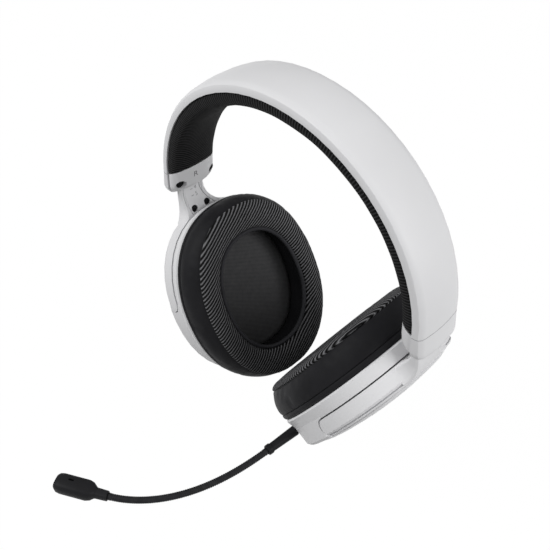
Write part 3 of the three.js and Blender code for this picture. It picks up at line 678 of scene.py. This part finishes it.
def pad_outline(inset):
    """The pad's cover in section as (depth, y) points, from edge to edge over the crown."""
    half = BAND_WIDTH / 2 - PAD_MARGIN
    side = [
        (PAD_BACK + 0.05, -half + 0.6),
        (PAD_BACK + 1.3, -half + 0.02),
        (PAD_BACK + 2.6, -half),
        (PAD_BACK + PAD_SIDE * 0.7, -half + 0.05),
    ]
    crown = []
    for i in range(15):
        share = math.sin(math.radians(90 * (i / 7 - 1)))
        crown.append((crown_at(share), share * (half - 0.6)))
    points = side + crown + [(depth, -y) for depth, y in reversed(side)]
    line = smooth_line(points, 2)
    if not inset:
        return line
    moved = []
    for i, (depth, y) in enumerate(line):
        before = line[max(i - 1, 0)]
        after = line[min(i + 1, len(line) - 1)]
        run = Vector((after[0] - before[0], after[1] - before[1])).normalized()
        moved.append((depth + run.y * -inset, y + run.x * inset))
    return moved


def build_pad():
    """The knitted cover of the headband pad."""
    outer = pad_outline(0)
    inner = pad_outline(PAD_COVER)
    section = outer + inner[::-1]
    length = [0.0]
    for a, b in zip(section, section[1:]):
        length.append(length[-1] + math.dist(a, b))
    rows = []
    uvs = []
    for i in range(PAD_STEPS + 1):
        share = 2 * i / PAD_STEPS - 1
        row = []
        spots = []
        for (depth, y), across in zip(section, length):
            short = max(0.0, PAD_SLANT * (depth - PAD_BACK)) + SEAM_GAP
            angle = share * (BAND_HALF_ANGLE - math.degrees(short / BAND_RADIUS))
            lump = noise.noise(Vector((angle * 0.12, y * 0.11, 3.0)))
            rise = PAD_LUMP * lump * min(1.0, (1 - abs(share)) * 12)
            row.append(band_place(angle, min(depth + rise, depth + PAD_LUMP_LIMIT), y))
            spots.append((math.radians(angle) * (BAND_RADIUS - 10), across))
        rows.append(row)
        uvs.append(spots)
    pad = grid_mesh("band_pad_cover", rows, uvs, [0] * len(section), closed_columns=True)
    dress(pad, pad_knit)
    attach(pad, "headband")
    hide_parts("band_pad")


build_pad()


# Ear cushions

WALL, FACE, BEAD, LINER = range(4)


def cushion_profile():
    """The cushion in section as (half width, half height, x), each with the part it belongs to."""
    w, h = RIM_HALF_WIDTH, RIM_HALF_HEIGHT
    ow, oh = OPENING_HALF_WIDTH, OPENING_HALF_HEIGHT
    back, front, seat = CUSHION_BACK, CUSHION_FRONT, CUSHION_SEAT
    wall = [
        (w - 0.7, h - 0.7, back),
        (w - 0.1, h - 0.1, back - 0.7),
        (w + 0.1, h + 0.1, back - 1.7),
        (w - 0.1, h - 0.1, back - 2.7),
        (w - 0.7, h - 0.7, back - 3.1),
        (w - 0.1, h - 0.1, back - 3.5),
        (w - 0.1, h + 0.1, back - 5.2),
        (w - 0.5, h - 0.1, back - 7.6),
        (w - 1.2, h - 0.5, back - 10.1),
        (w - 2.3, h - 1.1, back - 12.6),
        (w - 3.7, h - 1.7, back - 15.0),
        (w - 5.4, h - 2.6, back - 16.1),
    ]
    lip = ow - LIP_OVERHANG
    rise = oh - LIP_OVERHANG
    face = [
        (w - 5.4, h - 2.6, back - 16.1),
        (w - 4.9, h - 2.2, back - 16.8),
        (w - 5.5, h - 3.2, back - 17.9),
        (w - 7.4, h - 6.0, back - 18.8),
        (w - 10.0, h - 9.4, front - 0.1),
        (w - 12.8, h - 12.8, front - 0.1),
        (lip + 3.2, rise + 3.6, front + 1.4),
        (lip + 2.2, rise + 2.4, front + 2.8),
    ]
    bead = [
        (lip + 2.2, rise + 2.4, front + 2.8),
        (lip + 1.9, rise + 2.0, front + 2.0),
        (lip + 1.1, rise + 1.2, front + 1.6),
        (lip + 0.3, rise + 0.3, front + 2.2),
        (lip + 0.1, rise + 0.1, front + 3.1),
        (lip + 0.6, rise + 0.6, front + 4.1),
    ]
    liner = [
        (lip + 0.6, rise + 0.6, front + 4.1),
        (lip + 1.4, rise + 1.4, front + 6.5),
        (ow + 1.0, oh + 1.3, front + 10),
        (ow + 1.7, oh + 2.0, seat - 0.8),
        (ow + 2.1, oh + 2.4, seat),
        (w - 3.1, h - 3.1, seat),
        (w - 3.1, h - 3.1, back),
    ]
    line = []
    parts = []
    for points, steps, part in ((wall, 3, WALL), (face, 6, FACE), (bead, 3, BEAD)):
        curve = smooth_line(points, steps)[:-1]
        line += curve
        parts += [part] * len(curve)
    curve = smooth_line(liner[:5], 3)[:-1] + liner[4:]
    line += curve
    parts += [LINER] * len(curve)
    return line, parts


def plain_cushion():
    """The cushion before stuffing.

    Gives rows of (x, y, z) in the cup's own frame, and the part that each column belongs to.
    """
    line, parts = cushion_profile()
    rows = []
    for i in range(CUSHION_STEPS):
        row = []
        for half_width, half_height, x in line:
            y, z = oval_point(half_width, half_height, 360 * i / CUSHION_STEPS)
            row.append((x, y, z))
        rows.append(row)
    return rows, parts


def stuffed(rows, held, pressure, shares):
    """Blows up a closed ring of cloth between its sewn columns, and gives back the rows.

    The cloth is simulated at a larger size, where the solver is steady. Each column takes its
    share of the movement, and moves by that many millimetres at most.
    """
    count = len(rows[0])
    scale = STUFFING_SCALE * MM
    points = [Vector(p) for row in rows for p in row]
    faces = []
    for i in range(len(rows)):
        n = (i + 1) % len(rows)
        for j in range(count):
            k = (j + 1) % count
            faces.append((i * count + j, i * count + k, n * count + k, n * count + j))
    mesh = new_mesh("stuffing", [p * scale for p in points], faces)
    face_outwards(mesh)
    bag = new_object("stuffing", mesh)
    sewn = bag.vertex_groups.new(name="sewn")
    sewn.add([i * count + j for i in range(len(rows)) for j in held], 1.0, "REPLACE")
    cloth = bag.modifiers.new("stuffing", "CLOTH")
    settings = cloth.settings
    settings.quality = 5
    settings.mass = 0.25
    settings.tension_stiffness = 12
    settings.compression_stiffness = 12
    settings.shear_stiffness = 6
    settings.bending_stiffness = 0.4
    settings.use_pressure = True
    settings.uniform_pressure_force = pressure
    settings.effector_weights.gravity = 0
    settings.vertex_group_mass = "sewn"
    settings.shrink_min = -0.012
    cloth.point_cache.frame_start = 1
    cloth.point_cache.frame_end = STUFFING_FRAMES
    for frame_number in range(1, STUFFING_FRAMES + 1):
        bpy.context.scene.frame_set(frame_number)
    result = bag.evaluated_get(bpy.context.evaluated_depsgraph_get()).data
    moved = []
    for i, (point, vertex) in enumerate(zip(points, result.vertices)):
        share = shares[i % count]
        shift = (vertex.co / scale - point) * share
        if shift.length > share:
            shift *= share / shift.length
        moved.append(point + shift)
    bpy.data.objects.remove(bag)
    bpy.context.scene.frame_set(1)
    return [moved[i * count : (i + 1) * count] for i in range(len(rows))]


def fabric_place(y, z, slant):
    """A place in a fabric that lies across the cup, turned by slant."""
    return -y * math.sin(slant) + z * math.cos(slant), y * math.cos(slant) + z * math.sin(slant)


def build_cushion(side, sign, plain, parts):
    """The sewn cover of an ear cushion, with slight swells and puckers at its seam."""
    slant = math.radians(RIB_ANGLE)
    rows = []
    uvs = []
    for i, points in enumerate(plain):
        angle = 360 * i / CUSHION_STEPS
        spot = Vector((math.cos(math.radians(angle)), math.sin(math.radians(angle)), 0.0))
        row = []
        spots = []
        for part, (x, y, z) in zip(parts, points):
            if part in (WALL, FACE) and x < CUSHION_BACK - 4:
                soft = noise.noise(spot * 2.2 + Vector((sign * 5, 0, x * 0.08)))
                behind = (x - (CUSHION_FRONT + COVER_SEAM_DEPTH)) / COVER_SEAM_SPREAD
                seam = math.exp(-(behind**2))
                pucker = noise.noise(spot * 26 + Vector((sign * 9, 0, 0)))
                swell = 1 + (COVER_SWELL * soft + COVER_PUCKER * seam * pucker) / COVER_RADIUS
                y *= swell
                z *= swell
                x += 0.25 * soft if part == FACE else 0.0
            row.append(cup_place(sign, x, y, z))
            spots.append(fabric_place(y, z, slant) if part == FACE else (angle * 0.8, x))
        rows.append(row)
        uvs.append(spots)
    slots = [{FACE: 1, BEAD: 2}.get(part, 0) for part in parts]
    name = f"{side}_cushion_cover"
    cushion = grid_mesh(name, rows, uvs, slots, closed_rows=True, closed_columns=True)
    dress(cushion, leatherette, knitted, piping_sheen)
    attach(cushion, f"{side}_cup")
    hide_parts(f"{side}_ear_cushion")


def build_cloth(side, sign):
    """The cloth in the opening, stretched over its ring and bowed a little towards the ear."""
    width = OPENING_HALF_WIDTH + CLOTH_MARGIN_Y
    height = OPENING_HALF_HEIGHT + CLOTH_MARGIN_Z
    slant = math.radians(CLOTH_ANGLE)
    front = RING_BACK - CLOTH_SEAT
    rows = []
    uvs = []
    for layer in (0, 1):
        order = range(CLOTH_RINGS, -1, -1) if layer else range(CLOTH_RINGS + 1)
        for ring in order:
            share = max(ring / CLOTH_RINGS, 0.02)
            bow = CLOTH_BOW * (1 - share**2) ** 1.5
            row = []
            spots = []
            for i in range(CLOTH_STEPS):
                y, z = oval_point(width * share, height * share, 360 * i / CLOTH_STEPS)
                row.append(cup_place(sign, front - bow + CLOTH_THICKNESS * layer, y, z))
                spots.append(fabric_place(y, z, slant))
            rows.append(row)
            uvs.append(spots)
    sheet = grid_mesh(f"{side}_cloth", rows, uvs, [0] * CLOTH_STEPS, closed_columns=True)
    dress(sheet, cloth)
    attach(sheet, f"{side}_cup")
    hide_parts(f"{side}_acoustic_cloth")


plain_rows, cushion_parts = plain_cushion()
seam_column = cushion_parts.index(FACE)
held_columns = []
for k, part in enumerate(cushion_parts):
    glued = part in (BEAD, LINER) or plain_rows[0][k][0] > CUSHION_BACK - COVER_GLUED
    if glued or abs(k - seam_column) <= 1:
        held_columns.append(k)
movement = [FACE_MOVEMENT if part == FACE else WALL_MOVEMENT for part in cushion_parts]
cushion_rows = stuffed(plain_rows, held_columns, STUFFING_PRESSURE, movement)
for side, sign in (("left", 1), ("right", -1)):
    build_cushion(side, sign, cushion_rows, cushion_parts)
    build_cloth(side, sign)


# Microphone gooseneck


def build_gooseneck():
    """The ribbed sleeve of the gooseneck, plain at its two ends."""
    ribbed_length = NECK_LENGTH - 2 * NECK_PLAIN_END
    count = round(ribbed_length / NECK_RIB_PITCH) * NECK_STEPS_PER_RIB
    end = NECK_START + NECK_LENGTH
    first = NECK_START + NECK_PLAIN_END
    distances = [NECK_START, NECK_START + 1.6]
    distances += [first + ribbed_length * i / count for i in range(count + 1)]
    distances += [end - 1.6, end]
    points = mic_points(distances)
    rows = []
    uvs = []
    for distance, point in zip(distances, points):
        heading = heading_at(distance)
        across = Vector((math.cos(heading), -math.sin(heading), 0))
        ribbed = NECK_START + 1.9 < distance < end - 1.9
        row = []
        spots = []
        for j in range(NECK_SIDES):
            t = 2 * math.pi * j / NECK_SIDES
            wave = math.cos(2 * math.pi * (distance / NECK_RIB_PITCH) + t)
            radius = NECK_RADIUS - (NECK_RIB_DEPTH * (1 - wave) if ribbed else 0.0)
            offset = across * math.cos(t) + Vector((0, 0, math.sin(t)))
            row.append(point + offset * radius * MM)
            spots.append((distance, j))
        rows.append(row)
        uvs.append(spots)
    neck = grid_mesh("mic_neck_sleeve", rows, uvs, [0] * NECK_SIDES, closed_columns=True)
    dress(neck, sleeve)
    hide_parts("mic_gooseneck")
    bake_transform(neck)


build_gooseneck()


# Marks, with grey painted shade on the hangers


def flat_text(text, size):
    """A letter or number as a flat mesh about its middle, size millimetres high."""
    curve = bpy.data.curves.new(f"text_{text}", "FONT")
    curve.body = text
    curve.align_x = "CENTER"
    curve.align_y = "CENTER"
    curve.size = size * 1.4
    curve.resolution_u = 3
    obj = new_object("text_source", curve)
    bpy.context.view_layer.update()
    ready = obj.evaluated_get(bpy.context.evaluated_depsgraph_get())
    mesh = bpy.data.meshes.new_from_object(ready)
    bpy.data.objects.remove(obj)
    bpy.data.curves.remove(curve)
    return mesh


def press_on(mesh, name, carrier, body, origin, axes, finish, height):
    """Lays a flat mesh on a CAD node's surface, seen from origin's side, as a thin raised mark."""
    right, up = axes
    away = right.cross(up).normalized()
    reach = away * (MARK_REACH * MM)
    places = []
    for vertex in mesh.vertices:
        start = origin + right * vertex.co.x * MM + up * vertex.co.y * MM
        hit, place, _, _ = carrier.ray_cast(start + reach, -away)
        places.append(place if hit else start)
    verts = [place + away * height * MM for place in places]
    verts += [place - away * MARK_ROOT * MM for place in places]
    count = len(places)
    faces = []
    edges = {}
    for polygon in mesh.polygons:
        corners = list(polygon.vertices)
        faces.append(corners)
        faces.append([count + i for i in reversed(corners)])
        for a, b in zip(corners, corners[1:] + corners[:1]):
            edges[(a, b)] = edges.get((a, b), 0) + 1
    for a, b in list(edges):
        if (b, a) not in edges:
            faces.append([b, a, count + a, count + b])
    piece = new_mesh(name, verts, faces)
    piece.update()
    obj = new_object(name, piece)
    dress(obj, finish)
    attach(obj, body)


def bar_mesh(width, height, steps):
    """A flat bar about its middle, cut into steps along its height."""
    verts = []
    faces = []
    for i in range(steps + 1):
        y = height * (i / steps - 0.5)
        verts += [(-width / 2, y, 0), (width / 2, y, 0)]
    for i in range(steps):
        faces.append((2 * i, 2 * i + 1, 2 * i + 3, 2 * i + 2))
    return new_mesh("bar", verts, faces)


def end_axes(sign):
    """The directions across and up on the inner face of a band end, seen from the head."""
    t = math.radians(BAND_HALF_ANGLE)
    up = Vector((-sign * math.cos(t), 0, math.sin(t)))
    right = Vector((0, -1 if sign < 0 else 1, 0))
    if right.cross(up).x * sign > 0:
        right = -right
    return right, up


def add_marks(side, sign, letter):
    """The side letter on an end cover, and the lines and the size scale on its hanger. The letter
    is print; the lines and the scale's grey are painted shade.
    """
    axes = end_axes(sign)
    spot = end_place(sign, *LETTER_PLACE)
    mark = flat_text(letter, LETTER_SIZE)
    cover = nodes[f"{side}_end_cover"]
    press_on(mark, f"{side}_mark", cover, "headband", spot, axes, ink, LETTER_HEIGHT)
    marks = []
    # The two lines are painted shade along the front and rear edges of the hanger's inlay
    for edge, y in (("front", -HANGER_LINE_Y), ("rear", HANGER_LINE_Y)):
        line = bar_mesh(HANGER_LINE_WIDTH, HANGER_LINE_LENGTH, HANGER_LINE_LENGTH)
        marks.append((line, f"line_{edge}", "hanger", y, HANGER_LINE_MIDDLE))
    # The digits and ticks are raised marks; their grey is painted shade of the embossed relief
    for i, digit in enumerate("12345"):
        along = SCALE_START + SCALE_PITCH * i
        number = flat_text(digit, SCALE_SIZE)
        tick = bar_mesh(TICK_WIDTH, TICK_HEIGHT, 2)
        marks.append((number, f"scale_{digit}", "size_strip", NUMBER_Y * axes[0].y, along))
        marks.append((tick, f"tick_{digit}", "size_strip", TICK_Y * axes[0].y, along))
    for flat, name, piece, y, along in marks:
        spot = end_place(sign, SCALE_DEPTH, y, along)
        carrier = nodes[f"{side}_{piece}"]
        name = f"{side}_{name}"
        press_on(flat, name, carrier, f"{side}_arm", spot, axes, painted_relief_shade, SCALE_HEIGHT)


add_marks("left", 1, "L")
add_marks("right", -1, "R")


# Studio


def stage_plane(name, z, size):
    """A level square that belongs to the studio, not to the part."""
    s = size / 2
    corners = [(-s, -s, z), (s, -s, z), (s, s, z), (-s, s, z)]
    obj = new_object(name, new_mesh(name, corners, [(0, 1, 2, 3)]))
    return obj


def floor_material():
    """A white floor whose shadow the camera still sees faintly."""
    material = bpy.data.materials.new("floor")
    material.use_nodes = True
    tree = material.node_tree
    tree.nodes.clear()
    out = tree.nodes.new("ShaderNodeOutputMaterial")
    plain = tree.nodes.new("ShaderNodeBsdfDiffuse")
    plain.inputs["Color"].default_value = (0.12, 0.12, 0.12, 1)
    glow = tree.nodes.new("ShaderNodeEmission")
    glow.inputs["Color"].default_value = (1, 1, 1, 1)
    glow.inputs["Strength"].default_value = 1.1
    seen = tree.nodes.new("ShaderNodeMixShader")
    seen.inputs["Fac"].default_value = 0.9
    mixed = tree.nodes.new("ShaderNodeMixShader")
    rays = tree.nodes.new("ShaderNodeLightPath")
    direct = tree.nodes.new("ShaderNodeMath")
    direct.operation = "MAXIMUM"
    tree.links.new(rays.outputs["Is Camera Ray"], direct.inputs[0])
    tree.links.new(rays.outputs["Is Glossy Ray"], direct.inputs[1])
    tree.links.new(plain.outputs[0], seen.inputs[1])
    tree.links.new(glow.outputs[0], seen.inputs[2])
    tree.links.new(direct.outputs[0], mixed.inputs["Fac"])
    tree.links.new(plain.outputs[0], mixed.inputs[1])
    tree.links.new(seen.outputs[0], mixed.inputs[2])
    tree.links.new(mixed.outputs[0], out.inputs["Surface"])
    return material


def set_world(level):
    """White light from all sides, at level. The camera itself sees plain white."""
    world = bpy.data.worlds.new("studio")
    bpy.context.scene.world = world
    world.use_nodes = True
    tree = world.node_tree
    tree.nodes.clear()
    out = tree.nodes.new("ShaderNodeOutputWorld")
    soft = tree.nodes.new("ShaderNodeBackground")
    soft.inputs["Color"].default_value = (1, 1, 1, 1)
    soft.inputs["Strength"].default_value = level
    seen = tree.nodes.new("ShaderNodeBackground")
    seen.inputs["Color"].default_value = (1, 1, 1, 1)
    seen.inputs["Strength"].default_value = 1.0
    rays = tree.nodes.new("ShaderNodeLightPath")
    mixed = tree.nodes.new("ShaderNodeMixShader")
    tree.links.new(rays.outputs["Is Camera Ray"], mixed.inputs["Fac"])
    tree.links.new(soft.outputs[0], mixed.inputs[1])
    tree.links.new(seen.outputs[0], mixed.inputs[2])
    tree.links.new(mixed.outputs[0], out.inputs["Surface"])


def soft_box(name, place, size, power):
    """A rectangular lamp at place that shines on the middle of the part."""
    light = bpy.data.lights.new(name, "AREA")
    light.shape = "RECTANGLE"
    light.size, light.size_y = size
    light.energy = power
    obj = new_object(name, light)
    obj.location = place
    aim = Vector(MIDDLE) - Vector(place)
    obj.rotation_euler = aim.to_track_quat("-Z", "Y").to_euler()


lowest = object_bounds()[0][2]
floor = stage_plane("floor", lowest - FLOOR_DROP * MM, FLOOR_SIZE)
floor.data.materials.append(floor_material())
set_world(WORLD_LEVEL)
soft_box("key", place=(1.25, 0.2, 0.4), size=(0.9, 0.9), power=10.8)
soft_box("fill", place=(-0.75, -0.85, 0.75), size=(0.7, 0.6), power=9.6)
soft_box("front", place=(-0.15, -0.95, 1.0), size=(0.5, 0.3), power=2.4)

camera_data = bpy.data.cameras.new("camera")
camera_data.lens = CAMERA_LENS
camera_data.sensor_width = 36
camera_data.sensor_fit = "HORIZONTAL"
camera_data.clip_start = 0.01
camera = new_object("camera", camera_data)
camera.location = CAMERA_PLACE
aim = Vector(CAMERA_TARGET) - camera.location
camera.rotation_euler = aim.to_track_quat("-Z", "Y").to_euler()
bpy.context.scene.camera = camera
bpy.context.scene.view_settings.view_transform = "Standard"
